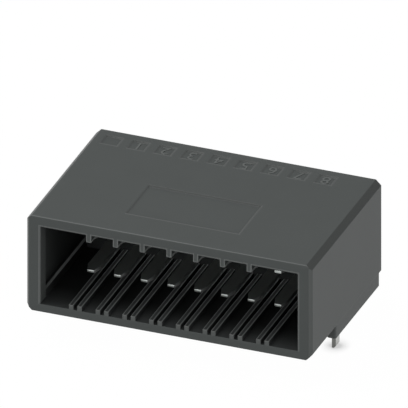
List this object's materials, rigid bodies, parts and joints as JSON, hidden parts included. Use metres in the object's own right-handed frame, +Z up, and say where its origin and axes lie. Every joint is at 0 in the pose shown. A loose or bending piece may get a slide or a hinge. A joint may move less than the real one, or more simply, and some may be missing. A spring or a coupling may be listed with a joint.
{
  "type": "right-angle pin header",
  "caption": "Right-angle shrouded pin header: a dark moulded housing with two rows of bent blade contacts, guide ribs, latch pockets, foot rails and solder anchors.",
  "frame": {"origin": "middle of the footprint, level with the tips of the solder tails that the part stands on", "axes": "+X across the contact columns, -Y out of the mating face, +Z up from the board"},
  "size_m": [0.0406, 0.0258, 0.0179],
  "materials": {
    "housing_plastic": "fine matt moulded surface",
    "contact_metal": "tin-plated copper alloy, satin",
    "anchor_metal": "tin-plated, satin"
  },
  "bodies": {
    "root": {"housing": "housing_plastic", "lower_pin_1": "contact_metal", "lower_pin_2": "contact_metal", "lower_pin_3": "contact_metal", "lower_pin_4": "contact_metal", "lower_pin_5": "contact_metal", "lower_pin_6": "contact_metal", "lower_pin_7": "contact_metal", "lower_pin_8": "contact_metal", "upper_pin_1": "contact_metal", "upper_pin_2": "contact_metal", "upper_pin_3": "contact_metal", "upper_pin_4": "contact_metal", "upper_pin_5": "contact_metal", "upper_pin_6": "contact_metal", "upper_pin_7": "contact_metal", "upper_pin_8": "contact_metal", "solder_anchor_left": "anchor_metal", "solder_anchor_right": "anchor_metal"}
  },
  "joints": []
}
